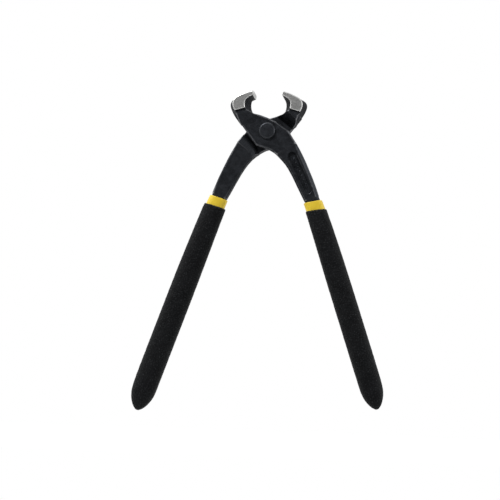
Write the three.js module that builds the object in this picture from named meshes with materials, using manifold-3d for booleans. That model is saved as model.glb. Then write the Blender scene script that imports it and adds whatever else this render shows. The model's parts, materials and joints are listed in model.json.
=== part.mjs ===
// End-cutting pincers: two identical forged levers crossing at a riveted lap joint, each with a
// two-layer dipped sleeve on its handle. Millimetres, +Z up (jaws up), +X right, front towards -Y.
//
// The outlines are drawn in the plane of the tool for the front lever, which carries the left jaw
// and the right handle. The rear lever is the same forging turned half a turn about the upright
// axis. Inside the tool group the joint plates meet on y = 0 and the pivot is the Y axis.

import * as THREE from 'three'
import { mergeVertices } from 'three/addons/utils/BufferGeometryUtils.js'
import Module from 'manifold-3d'

const { lerp, smoothstep } = THREE.MathUtils

// ---- Driving dimensions --------------------------------------------------------------------
const PLATE = 7 // thickness of one joint plate
const JOINT_GAP = 0.15 // half of the gap between the two plates
const PLATE_CHAMFER = 0.8

const JAW_PAD = 12.5 // mid-plane to the ground face of a jaw: the cutting edge is twice this
const JAW_BODY = 11.2 // mid-plane to the forged face that the ground face stands on

const SHANK_ROOT = 5 // half thickness of the shank next to the joint
const SHANK_END = 4.1 // half thickness where the shank enters its sleeves
const CHAMFER_OUT = 2.1 // along the outer edge of the shank, on its outer face
const CHAMFER_BACK = 0.8 // along the same edge, on the face towards the other lever
const CHAMFER_IN = 1.2 // along its inner edge, on both faces
const CHAMFER_ROOT = 0.35 // share of the chamfers that is left next to the joint
// Distances from the pivot between which the shank steps down from the joint plate, then tapers
const SHANK_STEP = [18.9, 22]
const SHANK_TAPER = [22, 58]

const PIVOT_R = 4
const BORE_R = 4.15
const FRONT_HEAD = { radius: 6, flat: 5.1, face: 9 } // face is measured from the mid-plane
const REAR_HEAD = { radius: 5.8, face: 8.6, rim: 0.6, rimInset: 0.3, crown: 0.15, crownInset: 1.7 }
const HEAD_CLEARANCE = 0.3 // between a rivet head and the plate under it

// Distances along the handle line, which starts inside the shank
const TANG = { start: 4.8, stop: 155, width: [11, 9.5], thickness: [8.2, 7.2] }
const LINER = { stop: 157.2, lip: 1.1, wall: 1.3, lipLength: 2 }
const GRIP_COVERS = 6.7 // the grip starts this far below the mouth of its liner
const SLEEVE_GAP = 0.2 // tang to liner, and liner to grip
const TANG_NOSE = 3 // length over which the end of the tang narrows
const LINER_NOSE = 1.5
const NOSE_INSET = 1.5 // how much it narrows on each side
const SLANT_FADE = 20 // length of sleeve over which the slant of its mouth dies out
// The sleeves were cut by hand: each has its own length, section and slant of its mouth (degrees)
const GRIPS = {
  right: { mouth: 9.3, stop: 166.5, width: 17.1, thickness: 15.2, slant: 11 },
  left: { mouth: 8, stop: 173.1, width: 18.2, thickness: 15, slant: 5 },
}

// How far the walls of the joint recess lean back at each height over its floor: the wall next to
// the jaw is straight and the wall next to the shank ends in a soft shoulder
const RECESS_WALLS = [
  { height: 0, jaw: 0, shank: 0 },
  { height: 2.6, jaw: 1.64, shank: 0.9 },
  { height: 4, jaw: 2.52, shank: 2.1 },
  { height: 5, jaw: 3.15, shank: 3.9 },
  { height: 7, jaw: 4.41, shank: 8.5 },
  { height: 14, jaw: 8.82, shank: 24 },
]
const TOWARDS_JAW = [-0.571, 0.821]
const TOWARDS_SHANK = [0.87, -0.49]
const PANEL = { start: [18.7, -18], end: [31, -42.4], radius: 2.8, depth: 0.7 }
const RIB = { count: 7, length: 3.6, width: 1.1, height: 0.45, root: 0.5, slant: 0.5 }

// ---- Outlines, as [x, z] points on the front lever -----------------------------------------
const TIP = [-10.3, 28.6]
const HEEL = [-10.5, 25.4]

// Jaw on the parting line of the forging, and its front face, which forged draft sets in from
// it. Both end at the cutting edge, which runs straight across.
const JAW_OUTER = [TIP, [-14.9, 27.3], [-19.8, 25.5], [-24, 23.9], [-27, 22.1], [-28.1, 19.6],
  [-27.6, 16.6], [-26.2, 13.4], [-24.1, 9.9], [-19.5, 4.1]]
const JAW_INNER = [[-8.2, 11.4], [-10.6, 12.7], [-12.1, 14.9], [-12.75, 17.6], [-12.8, 20.4],
  [-12, 23], HEEL]
const FACE_OUTER = [TIP, [-14.9, 27.3], [-19.5, 25.4], [-22.7, 23.8], [-24.7, 21.9],
  [-25.5, 19], [-25.1, 16.4], [-24.3, 14.4], [-23.4, 12.6], [-22.4, 10.8]]
const FACE_INNER = [[-14.3, 14.2], [-16, 15.6], [-16.6, 17.8], [-16.5, 20.7], [-15, 22.9],
  [-12.7, 24.4], HEEL]
const PAD_TOP = FACE_OUTER.slice(0, 8)
const PAD_BOTTOM = [[-23.9, 13.65], [-16.15, 15.9]]
const PAD_INNER = FACE_INNER.slice(2)

// Shank from the joint down to its sleeves: outer and inner edge, point for point
const SHANK_OUTER = [[19.6, -6.6], [20.6, -7.3], [22.1, -9.6], [26.4, -17.3], [30.6, -26.1],
  [34.4, -34.7], [36.9, -41], [38.75, -46.2]]
const SHANK_INNER = [[5.4, -15.6], [6.2, -16.4], [8.2, -18.05], [13.7, -24], [18.75, -32],
  [22.9, -40], [26, -46], [28.6, -50.75]]
const HANDLE_LINE = [[30.75, -42], [32.6, -46], [34.4, -50.2], [36.7, -55.8], [45.4, -80],
  [66.2, -140], [80, -180], [87.6, -204], [89.3, -210]]

// What the other lever's plate and shank root sweep between fully open and closed: the edge of
// the recess floor next to the jaw and next to the shank, and the open corners between them
const RECESS_JAW = [[1, 24], [-1.8, 14.6], [-16.8, 3.7], [-24, -1.5]]
const RECESS_SHANK = [[5.6, -28], [5.6, -21], [6.3, -16.4], [7.1, -14], [7.9, -12], [8.5, -10.8],
  [16.8, -1.9], [25.7, 8], [30, 12]]
const RECESS_OPEN = { low: [-24, -28], high: [30, 24] }

// Grip width as a share of its full width: near its mouth, then at distances from its far end
const GRIP_MOUTH_SHAPE = [[0, 0.875], [0.7, 0.895], [2.5, 0.905], [14, 0.93], [28, 0.955],
  [44, 0.985], [60, 1]]
const GRIP_END_SHAPE = [[60, 1], [23, 1], [16, 0.98], [11.7, 0.93], [7.8, 0.8], [3.9, 0.57],
  [1.6, 0.36], [0, 0.12]]

// ---- Geometry helpers ----------------------------------------------------------------------
const wasm = await Module()
wasm.setup()

function solid(geometry) {
  geometry.deleteAttribute('normal')
  geometry.deleteAttribute('uv')
  const merged = faceOut(mergeVertices(geometry, 1e-4))
  return new wasm.Manifold(new wasm.Mesh({
    numProp: 3,
    vertProperties: new Float32Array(merged.attributes.position.array),
    triVerts: new Uint32Array(merged.index.array),
  }))
}

function geometryOf(manifold) {
  const mesh = manifold.getMesh()
  const geometry = new THREE.BufferGeometry()
  geometry.setAttribute('position', new THREE.BufferAttribute(mesh.vertProperties, 3))
  geometry.setIndex(new THREE.BufferAttribute(mesh.triVerts, 1))
  geometry.computeVertexNormals()
  return geometry
}

// Triangles over a flat ring of points, wound the way the ring runs.
function capTriangles(ring) {
  const normal = new THREE.Vector3()
  ring.forEach((p, i) => normal.add(p.clone().cross(ring[(i + 1) % ring.length])))
  const across = ring[1].clone().sub(ring[0]).cross(normal).normalize()
  const along = normal.clone().normalize().cross(across)
  const flat = ring.map((p) => new THREE.Vector2(p.dot(across), p.dot(along)))
  return THREE.ShapeUtils.triangulateShape(flat, [])
}

// Turns the faces of a closed geometry out if its signed volume says that they point in.
function faceOut(geometry) {
  const position = geometry.attributes.position
  const index = geometry.index.array
  const corner = (i) => new THREE.Vector3().fromBufferAttribute(position, index[i])
  let volume = 0
  for (let i = 0; i < index.length; i += 3) {
    volume += corner(i).dot(corner(i + 1).cross(corner(i + 2)))
  }
  if (volume < 0) {
    for (let i = 0; i < index.length; i += 3) [index[i], index[i + 2]] = [index[i + 2], index[i]]
  }
  return geometry
}

// A closed skin through rings of equally many points, with a flat cap on each end.
function skin(rings) {
  const count = rings[0].length
  const faces = []
  for (let r = 0; r + 1 < rings.length; r++) {
    for (let i = 0; i < count; i++) {
      const a = r * count + i
      const b = r * count + (i + 1) % count
      faces.push(a, b, b + count, a, b + count, a + count)
    }
  }
  const last = (rings.length - 1) * count
  for (const [a, b, c] of capTriangles(rings[0])) faces.push(a, c, b)
  for (const [a, b, c] of capTriangles(rings.at(-1))) faces.push(last + a, last + b, last + c)
  const geometry = new THREE.BufferGeometry()
  const coordinates = rings.flat().flatMap((p) => p.toArray())
  geometry.setAttribute('position', new THREE.Float32BufferAttribute(coordinates, 3))
  geometry.setIndex(faces)
  return geometry
}

// A prism over an outline in the xz plane, from y0 to y1, with an optional chamfer on both ends.
function prism(outline, y0, y1, chamfer = 0) {
  const points = outline.map(([x, z]) => new THREE.Vector2(x, z))
  const geometry = new THREE.ExtrudeGeometry(new THREE.Shape(points), {
    depth: y1 - y0 - 2 * chamfer,
    bevelEnabled: chamfer > 0,
    bevelSize: chamfer,
    bevelThickness: chamfer,
    bevelOffset: -chamfer,
    bevelSegments: 1,
  })
  return geometry.rotateX(Math.PI / 2).translate(0, y1 - chamfer, 0)
}

// A smooth curve through points, sampled evenly between each pair of them.
function smooth(points, perSpan = 2) {
  const curve = new THREE.CatmullRomCurve3(points.map(([x, z]) => new THREE.Vector3(x, 0, z)))
  return curve.getPoints((points.length - 1) * perSpan).map((p) => [p.x, p.z])
}

const mix = (a, b, t) => a.map((v, i) => lerp(v, b[i], t))
const mixAll = (a, b, t) => a.map((p, i) => mix(p, b[i], t))
const placed = (outline, y) => outline.map(([x, z]) => new THREE.Vector3(x, y, z))

// ---- One forged lever ----------------------------------------------------------------------
// The jaw is widest on its mid-plane. Below its face a slope runs down to the joint plate.
function jaw() {
  const widest = [...smooth(JAW_OUTER), ...smooth(JAW_INNER)]
  const face = [...smooth(FACE_OUTER), ...smooth(FACE_INNER)]
  const share = PLATE / JAW_BODY
  const outer = [...mixAll(JAW_OUTER, FACE_OUTER, share).slice(0, -1), JAW_OUTER.at(-1)]
  const inner = [JAW_INNER[0], ...mixAll(JAW_INNER, FACE_INNER, share).slice(1)]
  const foot = [...smooth(outer), ...smooth(inner)]
  const levels = [[face, -JAW_BODY], [foot, -PLATE], [widest, 0], [foot, PLATE], [face, JAW_BODY]]
  const body = solid(skin(levels.map(([outline, y]) => placed(outline, y))))
  const pad = [...smooth(PAD_TOP).slice(0, -1), ...PAD_BOTTOM, ...smooth(PAD_INNER)]
  return body.add(solid(prism(pad, -JAW_PAD, -PLATE))).add(solid(prism(pad, PLATE, JAW_PAD)))
}

// The joint plate with the root of the shank. Its thickness covers both plates until the
// recess for the other lever is cut.
function plate() {
  const outline = new THREE.Shape()
  outline.moveTo(-19.6, 14)
  outline.lineTo(-9.8, 12.4)
  outline.bezierCurveTo(-4.5, 11.5, 1, 9.3, 6.1, 6.9)
  outline.lineTo(14.4, 1.3)
  outline.quadraticCurveTo(15.9, 0.2, 16.6, -1.2)
  outline.quadraticCurveTo(18.4, -4.2, 20.6, -7.3)
  outline.lineTo(6.2, -16.4)
  outline.quadraticCurveTo(3.8, -14.5, 0.9, -13.3)
  outline.lineTo(-7.2, -11)
  outline.lineTo(-7.9, -10.7)
  outline.quadraticCurveTo(-16, 0, -24.3, 10.9)
  const points = outline.getPoints(5).map((p) => [p.x, p.y])
  return solid(prism(points, -PLATE, PLATE, PLATE_CHAMFER))
}

// Eight-sided section across the shank, from its inner to its outer edge.
function shankSection(inner, outer, half, share) {
  const width = Math.hypot(outer[0] - inner[0], outer[1] - inner[1])
  const side = (chamferIn, chamferOut) => [[0, half - chamferIn], [chamferIn, half],
    [width - chamferOut, half], [width, half - chamferOut]]
  const front = side(CHAMFER_IN * share, CHAMFER_OUT * share).map(([s, y]) => [s, -y])
  const back = side(CHAMFER_IN * share, CHAMFER_BACK * share).toReversed()
  return [...front, ...back].map(([s, y]) => {
    const [x, z] = mix(inner, outer, s / width)
    return new THREE.Vector3(x, y, z)
  })
}

function shank() {
  const outer = smooth(SHANK_OUTER)
  const inner = smooth(SHANK_INNER)
  const rings = outer.map((o, i) => {
    const fromPivot = Math.hypot(...mix(inner[i], o, 0.5))
    const step = smoothstep(fromPivot, ...SHANK_STEP)
    const slim = smoothstep(fromPivot, ...SHANK_TAPER)
    const half = lerp(lerp(PLATE, SHANK_ROOT, step), SHANK_END, slim)
    return shankSection(inner[i], o, half, lerp(CHAMFER_ROOT, 1, step))
  })
  return solid(skin(rings))
}

// Sunk panel with rounded ends on the outer face of the shank, and the plain slanted ribs in it.
function panel() {
  const [start, end] = [PANEL.start, PANEL.end].map(([x, z]) => new THREE.Vector2(x, z))
  const direction = end.clone().sub(start)
  const angle = direction.angle()
  const floor = -(SHANK_ROOT + SHANK_END) / 2 + PANEL.depth
  const stadium = new THREE.Shape()
  stadium.absarc(end.x, end.y, PANEL.radius, angle - Math.PI / 2, angle + Math.PI / 2)
  stadium.absarc(start.x, start.y, PANEL.radius, angle + Math.PI / 2, angle + 1.5 * Math.PI)
  const points = stadium.getPoints(8).map((p) => [p.x, p.y]).slice(0, -1)
  let cutter = solid(prism(points, -PLATE - 1, floor))
  for (let i = 1; i <= RIB.count; i++) {
    const middle = start.clone().lerp(end, i / (RIB.count + 1))
    const rib = new THREE.BoxGeometry(RIB.length, RIB.height + RIB.root, RIB.width)
    rib.rotateY(RIB.slant - angle).translate(middle.x, floor + (RIB.root - RIB.height) / 2, middle.y)
    cutter = cutter.subtract(solid(rib))
  }
  return cutter
}

// The room that the other lever needs, behind the plate
function recess() {
  const moved = (points, [x, z], by) => points.map((p) => [p[0] + x * by, p[1] + z * by])
  const rings = RECESS_WALLS.map(({ height, jaw: jawLean, shank: shankLean }) => placed([
    ...moved(RECESS_JAW, TOWARDS_JAW, jawLean),
    RECESS_OPEN.low,
    ...moved(RECESS_SHANK, TOWARDS_SHANK, shankLean),
    RECESS_OPEN.high,
  ], height - JOINT_GAP))
  return solid(skin(rings))
}

function cylinder(radius, y0, y1) {
  return solid(new THREE.CylinderGeometry(radius, radius, y1 - y0, 40).translate(0, (y0 + y1) / 2, 0))
}

function forging() {
  const [frontOfBore, backOfBore] = [-PLATE - 1, 1]
  return jaw().add(plate()).add(shank()).add(tang())
    .subtract(recess())
    .subtract(panel())
    .subtract(cylinder(BORE_R, frontOfBore, backOfBore))
}

// ---- Tang and sleeves: sections along the handle line ---------------------------------------
const handleLine = new THREE.CatmullRomCurve3(HANDLE_LINE.map(([x, z]) => new THREE.Vector3(x, 0, z)))
const handleLength = handleLine.getLength()
const SIDES = 20

// A rounded section at a distance along the handle line. Its corners follow a superellipse:
// squareness 1 is an ellipse and smaller values are squarer. A slant, in degrees, sets its outer
// side further down the handle than its inner side.
function section(distance, [width, thickness], squareness, slant = 0) {
  const share = distance / handleLength
  const centre = handleLine.getPointAt(share)
  const tangent = handleLine.getTangentAt(share)
  const outward = new THREE.Vector3(-tangent.z, 0, tangent.x)
  const power = (v) => Math.sign(v) * Math.abs(v) ** squareness
  return Array.from({ length: SIDES }, (_, i) => {
    const angle = (i + 0.5) / SIDES * Math.PI * 2
    const out = power(Math.cos(angle)) * width / 2
    const point = centre.clone().addScaledVector(outward, out)
    point.addScaledVector(tangent, out * Math.tan(THREE.MathUtils.degToRad(slant)))
    point.y += power(Math.sin(angle)) * thickness / 2
    return point
  })
}

const TANG_SQUARE = 0.65
const LINER_SQUARE = 0.7
const GRIP_SQUARE = 0.8

const grown = (size, by) => size.map((v) => v + 2 * by)

function tangSize(distance) {
  const share = distance / TANG.stop
  return [lerp(...TANG.width, share), lerp(...TANG.thickness, share)]
}

function linerSize(distance, mouth) {
  const full = smoothstep(distance, mouth, mouth + LINER.lipLength)
  return grown(tangSize(distance), SLEEVE_GAP + lerp(LINER.lip, LINER.wall, full))
}

// Stations from one distance to another, closer together near the start
function stations(from, to, count = 9) {
  return Array.from({ length: count + 1 }, (_, i) => lerp(from, to, (i / count) ** 1.6))
}

// The slant of a mouth dies out along its sleeve
const slantAt = (slant, distance, mouth) => slant * (1 - smoothstep(distance, mouth, mouth + SLANT_FADE))

function tang() {
  const straight = stations(TANG.start, TANG.stop - TANG_NOSE)
  const rings = straight.map((d) => section(d, tangSize(d), TANG_SQUARE))
  rings.push(section(TANG.stop, grown(tangSize(TANG.stop), -NOSE_INSET), TANG_SQUARE))
  return solid(skin(rings))
}

// A cup: its outer skin runs from the closed end to the mouth, and its cavity back down.
function cup(outer, cavity) {
  return solid(skin([...outer.toReversed(), ...cavity]))
}

function liner({ mouth, slant }) {
  const outer = stations(mouth, LINER.stop - LINER_NOSE).map((d) => (
    section(d, linerSize(d, mouth), LINER_SQUARE, slantAt(slant, d, mouth))))
  outer.push(section(LINER.stop, grown(linerSize(LINER.stop, mouth), -NOSE_INSET), LINER_SQUARE))
  const cavity = stations(mouth, TANG.stop + SLEEVE_GAP).map((d) => (
    section(d, grown(tangSize(d), SLEEVE_GAP), TANG_SQUARE, slantAt(slant, d, mouth))))
  return cup(outer, cavity)
}

function grip({ mouth, stop, width, thickness, slant }) {
  const start = mouth + GRIP_COVERS
  const shape = [
    ...GRIP_MOUTH_SHAPE.map(([d, share]) => [start + d, share]),
    ...GRIP_END_SHAPE.map(([d, share]) => [stop - d, share]),
  ]
  const outer = shape.map(([d, share]) => (
    section(d, [width * share, thickness * share], GRIP_SQUARE, slantAt(slant, d, start))))
  const cavity = stations(start, LINER.stop + SLEEVE_GAP).map((d) => (
    section(d, grown(linerSize(d, mouth), SLEEVE_GAP), LINER_SQUARE, slantAt(slant, d, start))))
  return cup(outer, cavity)
}

// ---- Rivet ---------------------------------------------------------------------------------
// Flat round head with a chamfer in front, shank through both plates, low peened head behind.
function rivet() {
  const seat = PLATE + HEAD_CLEARANCE
  const chamfer = FRONT_HEAD.radius - FRONT_HEAD.flat
  const profile = [
    [0, -FRONT_HEAD.face], [FRONT_HEAD.flat, -FRONT_HEAD.face],
    [FRONT_HEAD.radius, -FRONT_HEAD.face + chamfer], [FRONT_HEAD.radius, -seat],
    [PIVOT_R, -seat], [PIVOT_R, seat], [REAR_HEAD.radius, seat],
    [REAR_HEAD.radius - REAR_HEAD.rimInset, seat + REAR_HEAD.rim],
    [REAR_HEAD.radius - REAR_HEAD.crownInset, REAR_HEAD.face - REAR_HEAD.crown],
    [0, REAR_HEAD.face],
  ]
  return solid(new THREE.LatheGeometry(profile.map(([r, y]) => new THREE.Vector2(r, y)), 40))
}

// ---- Assembly ------------------------------------------------------------------------------
const BLACK_STEEL = { color: 0x26292d, roughness: 0.45, metalness: 0.9 }
const RIVET_STEEL = { color: 0x2b2e32, roughness: 0.4, metalness: 0.9 }
const YELLOW_VINYL = { color: 0xd9b532, roughness: 0.45, metalness: 0 }
const BLACK_VINYL = { color: 0x17181a, roughness: 0.75, metalness: 0 }

function part(name, manifold, look) {
  const mesh = new THREE.Mesh(geometryOf(manifold), new THREE.MeshStandardMaterial(look))
  mesh.name = name
  return mesh
}

const lever = forging()

const frontHalf = new THREE.Group()
frontHalf.add(
  part('front_lever', lever, BLACK_STEEL),
  part('pivot_rivet', rivet(), RIVET_STEEL),
  part('right_grip_liner', liner(GRIPS.right), YELLOW_VINYL),
  part('right_grip', grip(GRIPS.right), BLACK_VINYL),
)

const rearHalf = new THREE.Group()
rearHalf.rotation.z = Math.PI
rearHalf.add(
  part('rear_lever', lever, BLACK_STEEL),
  part('left_grip_liner', liner(GRIPS.left), YELLOW_VINYL),
  part('left_grip', grip(GRIPS.left), BLACK_VINYL),
)

// The origin is on the pivot axis, at the flat face of the front rivet head
const pincers = new THREE.Group()
pincers.position.y = FRONT_HEAD.face
pincers.add(frontHalf, rearHalf)

export default pincers
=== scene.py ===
"""End-cutting pincers, closed up for the camera: forged levers, riveted joint and dipped handles.

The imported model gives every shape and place. Each of its solids is copied, remeshed finely and
worked over: edges are rounded, and the surface gets the relief that forging, grinding and
dipping leave. Lengths inside the helpers are millimetres, and the finished pieces are metres.
"""

import json
import math

import bmesh
import bpy
import numpy as np
from mathutils import Matrix, Vector, noise

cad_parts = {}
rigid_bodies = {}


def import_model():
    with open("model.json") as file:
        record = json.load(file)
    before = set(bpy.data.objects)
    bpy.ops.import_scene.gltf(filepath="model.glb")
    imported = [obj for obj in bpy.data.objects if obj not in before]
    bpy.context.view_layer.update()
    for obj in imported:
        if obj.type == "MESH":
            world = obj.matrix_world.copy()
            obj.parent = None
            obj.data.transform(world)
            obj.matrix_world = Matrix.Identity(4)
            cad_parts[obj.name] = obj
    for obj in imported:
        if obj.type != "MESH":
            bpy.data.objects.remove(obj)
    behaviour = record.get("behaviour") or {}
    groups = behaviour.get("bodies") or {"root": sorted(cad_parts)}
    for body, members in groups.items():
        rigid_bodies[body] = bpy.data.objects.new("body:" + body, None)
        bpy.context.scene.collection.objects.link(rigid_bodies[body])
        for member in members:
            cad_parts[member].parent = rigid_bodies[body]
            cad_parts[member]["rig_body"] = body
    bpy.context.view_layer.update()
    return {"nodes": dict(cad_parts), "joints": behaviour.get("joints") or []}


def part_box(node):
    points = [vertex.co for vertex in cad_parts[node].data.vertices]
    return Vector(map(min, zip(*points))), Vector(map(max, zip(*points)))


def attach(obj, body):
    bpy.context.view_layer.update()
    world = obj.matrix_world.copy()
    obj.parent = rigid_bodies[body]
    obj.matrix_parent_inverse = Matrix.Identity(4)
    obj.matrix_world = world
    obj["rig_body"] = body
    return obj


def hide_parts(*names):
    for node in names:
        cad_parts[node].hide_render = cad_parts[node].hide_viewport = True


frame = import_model()

MM = 0.001
JOINT = frame["joints"][0]
MID_Y = JOINT["pos_m"][1] / MM  # the plane on which the two levers meet

LEVER_VOXEL = 0.27
GRIP_VOXEL = 0.34
LINER_VOXEL = 0.34


# ---- Mesh helpers --------------------------------------------------------------------------
def to_object(name, mesh):
    obj = bpy.data.objects.new(name, mesh)
    bpy.context.scene.collection.objects.link(obj)
    return obj


def cad_copy(node, name):
    """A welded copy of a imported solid, in millimetres."""
    mesh = frame["nodes"][node].data.copy()
    mesh.materials.clear()
    mesh.transform(Matrix.Scale(1 / MM, 4))
    bm = bmesh.new()
    bm.from_mesh(mesh)
    bmesh.ops.remove_doubles(bm, verts=bm.verts, dist=0.002)
    bmesh.ops.recalc_face_normals(bm, faces=bm.faces)
    bm.to_mesh(mesh)
    bm.free()
    for attribute in [a for a in mesh.attributes if a.name == "custom_normal"]:
        mesh.attributes.remove(attribute)
    return to_object(name, mesh)


def bake_modifiers(obj):
    """Replaces the object's mesh with the one that its modifiers make."""
    bpy.context.view_layer.update()
    graph = bpy.context.evaluated_depsgraph_get()
    mesh = bpy.data.meshes.new_from_object(obj.evaluated_get(graph))
    obj.modifiers.clear()
    obj.data = mesh
    return obj


def remeshed(obj, voxel):
    modifier = obj.modifiers.new("Fine mesh", "REMESH")
    modifier.mode = "VOXEL"
    modifier.voxel_size = voxel
    return bake_modifiers(obj)


class Surface:
    """A mesh's points, normals and neighbours as arrays, for smoothing and displacing it."""

    def __init__(self, obj):
        self.mesh = obj.data
        count = len(self.mesh.vertices)
        self.points = np.empty(count * 3)
        self.mesh.vertices.foreach_get("co", self.points)
        self.points = self.points.reshape(-1, 3)
        pairs = np.empty(len(self.mesh.edges) * 2, dtype=np.int64)
        self.mesh.edges.foreach_get("vertices", pairs)
        a, b = pairs.reshape(-1, 2).T
        self.ends = np.concatenate([a, b])
        self.others = np.concatenate([b, a])
        self.valence = np.maximum(np.bincount(self.ends, minlength=count), 1)

    def neighbour_mean(self, values):
        values = values.reshape(len(self.valence), -1)
        sums = [np.bincount(self.ends, weights=column[self.others], minlength=len(self.valence))
                for column in values.T]
        return (np.stack(sums, 1) / self.valence[:, None]).squeeze()

    def relax(self, rounds, shrink=0.5, grow=-0.52):
        """Smooths without losing volume: each round draws the points in, then lets them out."""
        for _ in range(rounds):
            for step in (shrink, grow):
                self.points += step * (self.neighbour_mean(self.points) - self.points)

    def round_off(self, share, rounds):
        """Plain smoothing, by each point's share, which wears an edge down evenly along its length."""
        for _ in range(rounds):
            self.points += 0.5 * share[:, None] * (self.neighbour_mean(self.points) - self.points)

    def normals(self):
        self.write()
        values = np.empty(len(self.points) * 3, dtype=np.float32)
        self.mesh.vertex_normals.foreach_get("vector", values)
        return values.reshape(-1, 3).astype(float)

    def bend(self, spread):
        """How far each point stands out of its surroundings, in mm: positive on an edge."""
        wide = self.points.copy()
        for _ in range(spread):
            wide = wide + 0.5 * (self.neighbour_mean(wide) - wide)
        return np.einsum("ij,ij->i", self.points - wide, self.normals())

    def blurred(self, values, rounds):
        for _ in range(rounds):
            values = 0.5 * (values + self.neighbour_mean(values))
        return values

    def write(self):
        self.mesh.vertices.foreach_set("co", self.points.astype(np.float32).ravel())
        self.mesh.update()

    def attribute(self, name, values):
        layer = self.mesh.attributes.new(name, "FLOAT", "POINT")
        layer.data.foreach_set("value", np.asarray(values, dtype=np.float32))


def ramp(values, low, high):
    """Smooth step from 0 at low to 1 at high."""
    t = np.clip((values - low) / (high - low), 0, 1)
    return t * t * (3 - 2 * t)


def finish_piece(obj, node, material):
    """Metres, smooth shading, material, and a place on its rigid body; the imported solid it replaces is hidden."""
    obj.data.transform(Matrix.Scale(MM, 4))
    obj.data.polygons.foreach_set("use_smooth", [True] * len(obj.data.polygons))
    obj.data.update()
    obj.data.materials.clear()
    obj.data.materials.append(material)
    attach(obj, frame["nodes"][node]["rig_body"])
    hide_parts(node)
    return obj


# ---- Node helpers --------------------------------------------------------------------------
class Nodes:
    """A short way to write a node tree."""

    def __init__(self, tree):
        self.tree = tree
        tree.nodes.clear()

    def add(self, kind, settings=None, **inputs):
        node = self.tree.nodes.new(kind)
        for key, value in (settings or {}).items():
            setattr(node, key, value)
        for key, value in inputs.items():
            self.set(node, key.replace("_", " "), value)
        return node

    def set(self, node, key, value):
        socket = node.inputs[int(key[1:])] if key[0] == "i" and key[1:].isdigit() else node.inputs[key]
        if isinstance(value, bpy.types.NodeSocket):
            self.tree.links.new(value, socket)
        else:
            socket.default_value = value

    def math(self, operation, a, b=0.0, c=0.0, clamp=False):
        node = self.add("ShaderNodeMath", {"operation": operation, "use_clamp": clamp})
        for key, value in (("i0", a), ("i1", b), ("i2", c)):
            self.set(node, key, value)
        return node.outputs[0]

    def mix(self, share, a, b):
        """Mixes two colours."""
        node = self.add("ShaderNodeMix", {"data_type": "RGBA"})
        for index, value in ((0, share), (6, a), (7, b)):
            self.set(node, f"i{index}", value)
        return node.outputs[2]

    def span(self, value, low, high, to_low=0.0, to_high=1.0):
        """Maps low..high to to_low..to_high, smoothly and clamped."""
        node = self.add("ShaderNodeMapRange", {"interpolation_type": "SMOOTHSTEP"}, Value=value)
        for key, number in (("From Min", low), ("From Max", high), ("To Min", to_low), ("To Max", to_high)):
            self.set(node, key, number)
        return node.outputs[0]

    def place(self):
        """Position on the tool at rest, in millimetres."""
        scaled = self.add("ShaderNodeVectorMath", {"operation": "SCALE"})
        self.tree.links.new(self.add("ShaderNodeTexCoord").outputs["Object"], scaled.inputs[0])
        scaled.inputs["Scale"].default_value = 1 / MM
        return scaled.outputs[0]

    def stretched(self, vector, scale):
        node = self.add("ShaderNodeVectorMath", {"operation": "MULTIPLY"})
        self.tree.links.new(vector, node.inputs[0])
        node.inputs[1].default_value = scale
        return node.outputs[0]

    def noise(self, vector, size, detail=3.0, roughness=0.55):
        """Noise whose features are about size millimetres across."""
        return self.add("ShaderNodeTexNoise", None, Vector=vector, Scale=1 / size, Detail=detail,
                        Roughness=roughness).outputs["Fac"]

    def cells(self, vector, size, feature="F1"):
        node = self.add("ShaderNodeTexVoronoi", {"feature": feature}, Vector=vector, Scale=1 / size)
        return node.outputs["Distance"]

    def attribute(self, name):
        return self.add("ShaderNodeAttribute", {"attribute_name": name}).outputs["Fac"]

    def seen(self):
        """1 for what the camera sees directly, 0 for light that falls on the tool."""
        return self.add("ShaderNodeLightPath").outputs["Is Camera Ray"]

    def bump(self, height, depth, normal=None):
        """Bump of a height map whose full range stands depth millimetres high."""
        node = self.add("ShaderNodeBump", None, Height=height, Strength=1.0, Distance=depth * MM)
        if normal is not None:
            self.set(node, "Normal", normal)
        return node.outputs[0]


def new_material(name):
    material = bpy.data.materials.new(name)
    material.use_nodes = True
    nodes = Nodes(material.node_tree)
    shader = nodes.add("ShaderNodeBsdfPrincipled")
    output = nodes.add("ShaderNodeOutputMaterial")
    nodes.tree.links.new(shader.outputs[0], output.inputs["Surface"])
    return material, nodes, shader


# ---- Materials -----------------------------------------------------------------------------
def grey(colour, share=1.0):
    return tuple(v * share for v in colour) + (1,)


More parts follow.
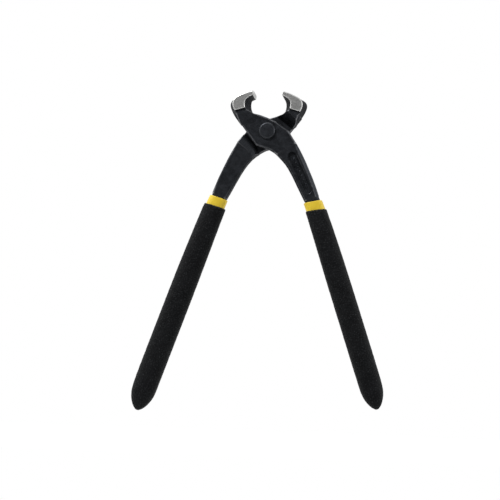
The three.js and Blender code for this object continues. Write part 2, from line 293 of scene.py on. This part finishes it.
def steel_material(name, dark, ground_colour):
    """Black oxide on forged steel. It is painted lighter on the edges, partly as wear and partly as a painted
    highlight, and painted darker in the hollows as painted shade; the ground faces are bare.
    """
    material, n, shader = new_material(name)
    place = n.place()
    edge, painted_shade, ground = n.attribute("edge"), n.attribute("painted_shade"), n.attribute("ground")

    mottle = n.noise(place, 3.5, 4)
    grain = n.noise(place, 0.45, 3, 0.7)
    speck = n.cells(place, 0.7)
    oxide = n.mix(n.span(mottle, 0.3, 0.75), grey(dark, 0.75), grey(dark, 1.3))
    oxide = n.mix(n.span(grain, 0.35, 0.75, 0.0, 0.5), oxide, grey(dark, 2.2))
    patchy = n.span(n.math("ADD", grain, n.math("MULTIPLY", mottle, 0.6)), 0.4, 1.0, 0.35, 1.0)
    # Lighter edges: partly wear, partly a painted highlight.
    oxide = n.mix(n.math("MULTIPLY", n.math("MULTIPLY", edge, patchy), RUB_AND_HIGHLIGHT), oxide, grey(WORN_HIGHLIT_OXIDE))
    # Painted shade: the hollows go nearly black and reflect less.
    oxide = n.mix(n.math("MULTIPLY", painted_shade, 0.9), oxide, grey(dark, 0.1))
    n.set(shader, "Specular IOR Level", n.math("MULTIPLY", n.math("SUBTRACT", 1.0, painted_shade), 0.45))

    lines = n.noise(n.stretched(place, (0.16, 1.0, 4.2)), 0.6, 4, 0.65)
    scratches = n.noise(n.stretched(place, (0.08, 1.0, 2.0)), 0.25, 2, 0.5)
    stain = n.noise(place, 5.0, 3)
    bare = n.mix(n.span(lines, 0.3, 0.7), grey(ground_colour, 0.88), grey(ground_colour, 1.12))
    bare = n.mix(n.span(stain, 0.45, 0.8, 0.0, 0.3), bare, grey(ground_colour, 0.6))
    # The edges of the ground faces get a painted highlight.
    bare = n.mix(n.math("MULTIPLY", edge, 0.4), bare, grey(ground_colour, 1.3))
    # The hollows and the top edges of the ground faces get painted shade.
    bare = n.mix(n.math("MULTIPLY", painted_shade, 0.75), bare, grey(ground_colour, 0.35))
    n.set(shader, "Base Color", n.mix(ground, oxide, bare))
    n.set(shader, "Metallic", n.math("ADD", 0.75, n.math("MULTIPLY", ground, 0.23)))
    n.set(shader, "Specular Tint", n.mix(ground, grey((0.3,) * 3), grey((1.0,) * 3)))

    texture = n.math("ADD", n.math("MULTIPLY", mottle, 0.5), n.math("MULTIPLY", grain, 0.5))
    rough_oxide = n.span(texture, 0.3, 0.7, 0.34, 0.48)
    rough_bare = n.math("ADD", n.span(lines, 0.25, 0.75, 0.3, 0.42), n.math("MULTIPLY", edge, 0.2))
    roughness = n.add("ShaderNodeMix", {"data_type": "FLOAT"})
    for index, value in ((0, ground), (2, rough_oxide), (3, rough_bare)):
        n.set(roughness, f"i{index}", value)
    n.set(shader, "Roughness", roughness.outputs[0])

    forged = n.math("ADD", grain, n.math("MULTIPLY", speck, 0.5))
    forged = n.math("MULTIPLY", forged, n.math("SUBTRACT", 1.0, ground))
    relief = n.bump(forged, 0.03)
    honed = n.math("MULTIPLY", n.math("ADD", lines, n.math("MULTIPLY", scratches, 0.6)), ground)
    n.set(shader, "Normal", n.bump(honed, 0.008, relief))
    return material


def yellow_material():
    material, n, shader = new_material("yellow_vinyl")
    place = n.place()
    cloud = n.noise(place, 6.0, 3)
    skin = n.noise(place, 0.5, 3, 0.6)
    base = n.mix(n.span(cloud, 0.3, 0.7), (0.62, 0.44, 0.026, 1), (0.69, 0.5, 0.034, 1))
    # The creases are painted a darker yellow: painted shade.
    crease_shade = n.math("MULTIPLY", n.attribute("painted_shade"), 0.55)
    n.set(shader, "Base Color", n.mix(crease_shade, base, (0.25, 0.17, 0.03, 1)))
    n.set(shader, "Roughness", n.span(skin, 0.3, 0.7, 0.34, 0.5))
    n.set(shader, "Specular IOR Level", 0.35)
    n.set(shader, "Normal", n.bump(skin, 0.02))
    return material


def grip_material():
    material, n, shader = new_material("black_vinyl")
    place = n.place()
    cloud = n.noise(place, 9.0, 4)
    grain = n.cells(place, 0.55)
    fine = n.noise(place, 0.22, 2, 0.6)
    base = n.mix(n.span(cloud, 0.3, 0.7), (0.0018, 0.002, 0.0025, 1), (0.0045, 0.0049, 0.0056, 1))
    # The pebble tops are painted lighter and made shinier: a painted sheen.
    pebble_sheen = n.math("MULTIPLY", n.attribute("edge"), n.span(n.noise(place, 1.2, 3), 0.35, 0.7))
    base = n.mix(n.math("MULTIPLY", pebble_sheen, 0.6), base, (0.026, 0.028, 0.032, 1))
    # The hollows between the pebbles are painted darker: painted shade.
    base = n.mix(n.math("MULTIPLY", n.attribute("painted_shade"), 0.6), base, (0.002, 0.002, 0.0023, 1))
    n.set(shader, "Base Color", base)
    n.set(shader, "Roughness", n.span(n.math("ADD", grain, cloud), 0.5, 1.2, 0.5, 0.68))
    n.set(shader, "Specular IOR Level", n.math("ADD", 0.1, n.math("MULTIPLY", pebble_sheen, 0.25)))
    relief = n.bump(n.math("ADD", grain, n.math("MULTIPLY", fine, 0.4)), 0.09)
    n.set(shader, "Normal", relief)
    return material


STEEL_DARK = (0.0235, 0.0255, 0.0295)
# The lighter oxide on the edges and how much of it: part wear, part painted highlight.
WORN_HIGHLIT_OXIDE = (0.3, 0.305, 0.32)
RUB_AND_HIGHLIGHT = 0.85
GROUND_STEEL = (0.66, 0.66, 0.65)


# ---- Levers --------------------------------------------------------------------------------
CUTTING_EDGE = 10.3  # distance of the cutting edge from the middle of the tool
HONED = 4.2  # width of the honed bevel on the outside of the cutting edge
JAW_BOTTOM = 9.0  # nothing is ground below this height
PANEL_LINE = ((18.7, -18.0), (31.0, -42.4))  # middle of the sunk panel, from end to end, in x and z
PANEL_RADIUS = 2.8


def ground_share(surface, half_width):
    """Where the forging is ground bare: the jaw faces, the cutting face and the bevel above it."""
    x, y, z = np.abs(surface.points[:, 0]), np.abs(surface.points[:, 1] - MID_Y), surface.points[:, 2]
    normals = surface.normals()
    faces = ramp(y, half_width - 1.0, half_width - 0.6) * ramp(z, JAW_BOTTOM, JAW_BOTTOM + 2)
    high = ramp(z, JAW_BOTTOM + 14, JAW_BOTTOM + 15)
    cutting = (1 - ramp(x, CUTTING_EDGE + 0.45, CUTTING_EDGE + 0.75)) * high
    bevel = (1 - ramp(x, CUTTING_EDGE + HONED - 0.2, CUTTING_EDGE + HONED + 0.2)) * high
    bevel = bevel * ramp(normals[:, 2], 0.45, 0.7)
    return np.maximum(np.maximum(faces, cutting), bevel)


def dim_edge_share(surface, towards_other):
    """Where the lighter edge paint, part wear and part painted highlight, is mostly left off: along the shank's
    inner edge, and on its face towards the other lever, which face away from the light.
    """
    x, y, z = surface.points.T
    inner = ramp(-surface.normals()[:, 0] * np.sign(x), 0.2, 0.5)
    back = ramp((y - MID_Y) * towards_other, 0.5, 2.0)
    return np.maximum(inner, back) * (1 - ramp(z, -19.0, -16.0)) * ramp(z, -47.0, -38.0)


def in_panel(surface, towards_other):
    """The sunk panel on the outer face of the shank. The front lever's shank is the one on the right."""
    x, y, z = surface.points.T
    start, end = (np.array(corner) for corner in PANEL_LINE)
    place = np.stack([x * towards_other, z], 1) - start
    length = np.linalg.norm(end - start)
    along = np.clip(place @ (end - start) / length ** 2, 0, 1)
    away = np.linalg.norm(place - along[:, None] * (end - start), axis=1)
    return (1 - ramp(away, PANEL_RADIUS + 0.3, PANEL_RADIUS + 0.8)) * ramp((MID_Y - y) * towards_other, 2, 3)


def lever(node, material, towards_other):
    """Drop forging: edges drawn round, a slightly wavy skin, and jaw faces ground flat."""
    obj = remeshed(cad_copy(node, node + "_steel"), LEVER_VOXEL)
    surface = Surface(obj)
    surface.relax(5)
    surface.round_off(ramp(np.abs(surface.bend(12)), 0.04, 0.12), 8)
    half_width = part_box(node)[1].y / MM - MID_Y
    ground = ground_share(surface, half_width)

    # The skin waves by a few hundredths of a millimetre, except where the two halves slide
    slides = 1 - ramp(np.abs(surface.points[:, 1] - MID_Y), 0.4, 1.0)
    free = (1 - surface.blurred(ground, 12)) * (1 - slides)
    wave = np.array([noise.noise(Vector(p) / 4.2) * 0.06 + noise.noise(Vector(p) / 1.3) * 0.02
                     for p in surface.points])
    surface.points += surface.normals() * (wave * free)[:, None]

    # Painted light follows: lighter edges, part wear and part painted highlight, and painted shade in the hollows,
    # in the panel and on the top edges of the ground faces.
    bend = surface.bend(22)
    painted_shade = ramp(-surface.blurred(bend, 1), 0.04, 0.16)
    edge = ramp(surface.blurred(bend, 3), 0.06, 0.16)
    edge *= 1 - ramp(surface.blurred(painted_shade, 24), 0.01, 0.06)
    # The panel's outline and ribs get painted shade instead of the lighter edge paint.
    panel = in_panel(surface, towards_other)
    edge *= 1 - panel
    painted_shade = np.maximum(painted_shade * (1 - 0.3 * panel), 0.6 * panel * ramp(np.abs(bend), 0.015, 0.07))
    # The top edges of the ground faces are painted dark instead of light: a painted shade.
    crown = edge * ground * ramp(surface.normals()[:, 2], 0.2, 0.5)
    painted_shade = np.maximum(painted_shade, crown)
    edge -= crown
    # Less lighter edge paint on the jaws, and little on the edges that face away from the light.
    edge *= 1 - 0.6 * ramp(surface.points[:, 2], JAW_BOTTOM, JAW_BOTTOM + 4)
    edge *= 1 - 0.85 * dim_edge_share(surface, towards_other)
    surface.attribute("edge", edge)
    surface.attribute("painted_shade", painted_shade)
    surface.attribute("ground", ground)
    surface.write()
    return finish_piece(obj, node, material)


# ---- Rivet ---------------------------------------------------------------------------------
RIVET_TURNS = 96


def arc(centre, radius, start, stop, steps=5):
    """Points on an arc in the (radius, y) plane, angles in degrees."""
    return [(centre[0] + radius * math.cos(math.radians(start + (stop - start) * i / steps)),
             centre[1] + radius * math.sin(math.radians(start + (stop - start) * i / steps)))
            for i in range(steps + 1)]


def rivet(material):
    low, high = (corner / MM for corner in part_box("pivot_rivet"))
    head = high.x
    front, back = low.y, high.y
    seat = 1.7
    shank = 4.0
    chamfer = 0.9
    profile = [(0, front), (head - chamfer - 0.35, front)]
    profile += [(head - chamfer, front + 0.06), (head - 0.12, front + chamfer - 0.1), (head, front + chamfer + 0.12)]
    profile += [(head, front + seat - 0.12), (head - 0.12, front + seat), (shank, front + seat)]
    rear_head = head - 0.2
    profile += [(shank, back - 1.3), (rear_head - 0.1, back - 1.3), (rear_head, back - 1.2)]
    profile += arc((rear_head - 0.75, back - 0.85), 0.7, 0, 80)
    profile += [(rear_head - 2.2, back - 0.05), (0, back)]
    bm = bmesh.new()
    verts = [bm.verts.new((r, y, 0)) for r, y in profile]
    for a, b in zip(verts, verts[1:]):
        bm.edges.new((a, b))
    bmesh.ops.spin(bm, geom=bm.verts[:] + bm.edges[:], axis=(0, 1, 0), cent=(0, 0, 0),
                   angle=math.tau, steps=RIVET_TURNS, use_merge=True)
    bmesh.ops.remove_doubles(bm, verts=bm.verts, dist=0.001)
    bmesh.ops.recalc_face_normals(bm, faces=bm.faces)
    mesh = bpy.data.meshes.new("pivot_rivet_steel")
    bm.to_mesh(mesh)
    bm.free()
    obj = to_object("pivot_rivet_steel", mesh)
    surface = Surface(obj)
    radius = np.hypot(surface.points[:, 0], surface.points[:, 2])
    ring = (radius > head - chamfer - 0.05) & (surface.points[:, 1] < front + chamfer)
    # The chamfer ring is painted a little lighter, part wear and part painted highlight.
    surface.attribute("edge", ring * 0.07)
    for name in ("painted_shade", "ground"):
        surface.attribute(name, np.zeros(len(radius)))
    return finish_piece(obj, "pivot_rivet", material)


# ---- Sleeves -------------------------------------------------------------------------------
MOUTH_ZONE = 6.0  # the rim of a sleeve lies within this distance of its highest point
CUTTER_REACH = 4.0  # how far the cutter for the cavity stands out of the mouth


def cup_sides(bm):
    """Which faces line the cavity of a cup and which make its rim, and the way its mouth points."""
    points = np.array([v.co for v in bm.verts])
    middle = points.mean(0)
    way = np.linalg.svd(points - middle, full_matrices=False)[2][0]
    way *= np.sign(way[2])
    along = (points - middle) @ way
    axis = np.polyfit(along, points, 3)  # the rings are symmetric, so a fit through them is the axis
    cavity, rim = [], []
    for face in bm.faces:
        centre, normal = np.array(face.calc_center_median()), np.array(face.normal)
        t = (centre - middle) @ way
        outwards = centre - (axis[0] * t ** 3 + axis[1] * t ** 2 + axis[2] * t + axis[3])
        if normal @ way > 0.7:
            (rim if t > along.max() - MOUTH_ZONE else cavity).append(face)
        elif normal @ way > -0.7 and normal @ outwards < 0:
            cavity.append(face)
    return cavity, rim, Vector(way)


def cup_part(node, inside):
    """The outer skin of a cup as a closed body, or its cavity as a cutter that stands out of the mouth."""
    obj = cad_copy(node, node + ("_cavity" if inside else "_vinyl"))
    bm = bmesh.new()
    bm.from_mesh(obj.data)
    bmesh.ops.join_triangles(bm, faces=bm.faces, cmp_seam=False, cmp_sharp=False, cmp_uvs=False,
                             cmp_vcols=False, cmp_materials=False, angle_face_threshold=1.0,
                             angle_shape_threshold=1.0)
    crease = bm.edges.layers.float.new("crease_edge")
    cavity, rim, way = cup_sides(bm)
    dropped = set(bm.faces) - set(cavity) if inside else set(cavity) | set(rim)
    bmesh.ops.delete(bm, geom=list(dropped), context="FACES")
    border = [edge for edge in bm.edges if edge.is_boundary]
    for edge in border:
        edge[crease] = 1.0
    if inside:
        made = bmesh.ops.extrude_edge_only(bm, edges=border)["geom"]
        bmesh.ops.translate(bm, verts=[v for v in made if isinstance(v, bmesh.types.BMVert)],
                            vec=way * CUTTER_REACH)
    bmesh.ops.holes_fill(bm, edges=[edge for edge in bm.edges if edge.is_boundary])
    bmesh.ops.recalc_face_normals(bm, faces=bm.faces)
    bm.to_mesh(obj.data)
    bm.free()
    modifier = obj.modifiers.new("Round", "SUBSURF")
    modifier.levels = modifier.render_levels = 2
    return bake_modifiers(obj)


def sleeve(node, voxel, rounds, displace=None):
    """A dipped sleeve: its smooth outer skin is meshed finely, worked over and then hollowed out."""
    obj = remeshed(cup_part(node, inside=False), voxel)
    surface = Surface(obj)
    surface.relax(rounds)
    if displace:
        displace(surface)
    surface.write()
    cutter = cup_part(node, inside=True)
    modifier = obj.modifiers.new("Hollow", "BOOLEAN")
    modifier.operation = "DIFFERENCE"
    modifier.solver = "MANIFOLD"
    modifier.object = cutter
    bake_modifiers(obj)
    bpy.data.objects.remove(cutter)
    return obj, Surface(obj)


def liner(node, material):
    obj, surface = sleeve(node, LINER_VOXEL, 3)
    bend = surface.bend(10)
    surface.attribute("edge", ramp(bend, 0.03, 0.12))
    # Painted shade for the creases, read by the yellow vinyl.
    surface.attribute("painted_shade", ramp(-bend, 0.03, 0.12))
    return finish_piece(obj, node, material)


PEBBLE = 1.15
PEBBLE_HEIGHT = 0.2


def pebbled(surface):
    heights = np.empty(len(surface.points))
    for i, p in enumerate(surface.points):
        near, _ = noise.voronoi(Vector(p) / PEBBLE)
        heights[i] = PEBBLE_HEIGHT * (0.45 - near[0]) + 0.07 * noise.noise(Vector(p) / 3.5)
    surface.points += surface.normals() * heights[:, None]


def grip(node, material):
    obj, surface = sleeve(node, GRIP_VOXEL, 4, pebbled)
    bend = surface.bend(6)
    # The pebble tops get a painted sheen and the hollows between them painted shade.
    surface.attribute("edge", ramp(bend, 0.01, 0.06))
    surface.attribute("painted_shade", ramp(-bend, 0.01, 0.06))
    return finish_piece(obj, node, material)


# ---- Build ---------------------------------------------------------------------------------
steel = steel_material("black_steel", STEEL_DARK, GROUND_STEEL)
rivet_steel = steel_material("rivet_steel", tuple(v * 1.15 for v in STEEL_DARK), GROUND_STEEL)
yellow = yellow_material()
vinyl = grip_material()

for node, towards_other in (("front_lever", 1), ("rear_lever", -1)):
    lever(node, steel, towards_other)
rivet(rivet_steel)
for side in ("right", "left"):
    liner(side + "_grip_liner", yellow)
    grip(side + "_grip", vinyl)


# ---- Floor, light and camera ---------------------------------------------------------------
FLOOR_Z = -0.235
FLOOR_GLOW = 0.6  # lifts the floor to white, for the eye only
FLOOR_SHADE = (0.25, 0.55)  # the floor's brightness in what the tool reflects: in front, and below


def floor():
    mesh = bpy.data.meshes.new("floor")
    bm = bmesh.new()
    bmesh.ops.create_circle(bm, cap_ends=True, radius=6.0, segments=64)
    bm.to_mesh(mesh)
    bm.free()
    obj = to_object("floor", mesh)
    obj.location.z = FLOOR_Z
    material, n, shader = new_material("floor")
    place = n.add("ShaderNodeSeparateXYZ")
    n.tree.links.new(n.place(), place.inputs[0])
    below = n.span(place.outputs["Y"], -130.0, -30.0)
    shade = n.mix(below, *(grey((share,) * 3) for share in FLOOR_SHADE))
    n.set(shader, "Base Color", n.mix(n.seen(), shade, grey((0.93,) * 3)))
    n.set(shader, "Roughness", 0.9)
    n.set(shader, "Specular IOR Level", 0.1)
    n.set(shader, "Emission Color", (1, 1, 1, 1))
    n.set(shader, "Emission Strength", n.math("MULTIPLY", n.seen(), FLOOR_GLOW))
    mesh.materials.append(material)


WORLD_LIGHT = {"side": 1.9, "front": 0.03, "back": 0.6}
SKY_LIFT = 0.2


def world():
    """White to the eye. What the tool reflects is bright all round and dimmer towards the front."""
    made = bpy.data.worlds.new("studio")
    made.use_nodes = True
    bpy.context.scene.world = made
    n = Nodes(made.node_tree)
    direction = n.add("ShaderNodeSeparateXYZ")
    n.tree.links.new(n.add("ShaderNodeTexCoord").outputs["Generated"], direction.inputs[0])
    front = n.math("MULTIPLY", direction.outputs["Y"], -1.0)
    ahead = n.span(front, 0.1, 0.8, WORLD_LIGHT["side"], WORLD_LIGHT["front"])
    behind = n.span(front, -0.75, -0.3, WORLD_LIGHT["back"], WORLD_LIGHT["side"])
    light = n.math("MINIMUM", ahead, behind)
    light = n.math("ADD", light, n.span(direction.outputs["Z"], 0.0, 1.0, 0.0, SKY_LIFT))
    strength = n.add("ShaderNodeMix", {"data_type": "FLOAT"})
    for index, value in ((0, n.seen()), (2, light), (3, 1.0)):
        n.set(strength, f"i{index}", value)
    background = n.add("ShaderNodeBackground", None, Color=(1, 1, 1, 1), Strength=strength.outputs[0])
    output = n.add("ShaderNodeOutputWorld")
    n.tree.links.new(background.outputs[0], output.inputs["Surface"])


def softbox(name, place, target, size, power):
    lamp = bpy.data.lights.new(name, "AREA")
    lamp.shape = "SQUARE"
    lamp.size = size
    lamp.energy = power
    obj = bpy.data.objects.new(name, lamp)
    bpy.context.scene.collection.objects.link(obj)
    obj.location = place
    obj.rotation_euler = (Vector(target) - Vector(place)).to_track_quat("-Z", "Y").to_euler()


# The camera looks slightly up and from the tool's right, through a long lens, and leans a little
VIEW_AZIMUTH = math.radians(5.2)
VIEW_ELEVATION = math.radians(-5)
LEAN = math.radians(2.1)
TARGET = Vector((0, 0, -0.085))
DISTANCE = 1.7267
AIM_OFF = Vector((-0.0091, -0.0022))  # where the lens points, right of and above the target
LENS = 172.2
SENSOR = 36


def camera():
    a, e = VIEW_AZIMUTH, VIEW_ELEVATION
    back = Vector((math.sin(a) * math.cos(e), -math.cos(a) * math.cos(e), math.sin(e)))
    right = Vector((math.cos(a), math.sin(a), 0))
    up = back.cross(right)
    x_axis = right * math.cos(LEAN) + up * math.sin(LEAN)
    y_axis = up * math.cos(LEAN) - right * math.sin(LEAN)
    place = TARGET + back * DISTANCE
    aim = TARGET + x_axis * AIM_OFF.x + y_axis * AIM_OFF.y
    z_axis = (place - aim).normalized()
    x_axis = (x_axis - z_axis * x_axis.dot(z_axis)).normalized()
    y_axis = z_axis.cross(x_axis)
    data = bpy.data.cameras.new("camera")
    data.sensor_width = SENSOR
    data.lens = LENS
    data.clip_start = 0.05
    obj = bpy.data.objects.new("camera", data)
    bpy.context.scene.collection.objects.link(obj)
    obj.matrix_world = Matrix.Translation(place) @ Matrix((x_axis, y_axis, z_axis)).transposed().to_4x4()
    bpy.context.scene.camera = obj


floor()
world()
softbox("key", (-0.5, -0.6, 0.75), (0, 0, -0.03), 0.3, 10)
softbox("fill", (0.8, -0.6, 0.1), (0, 0, -0.08), 0.5, 1.0)
camera()
bpy.context.scene.view_settings.view_transform = "Standard"
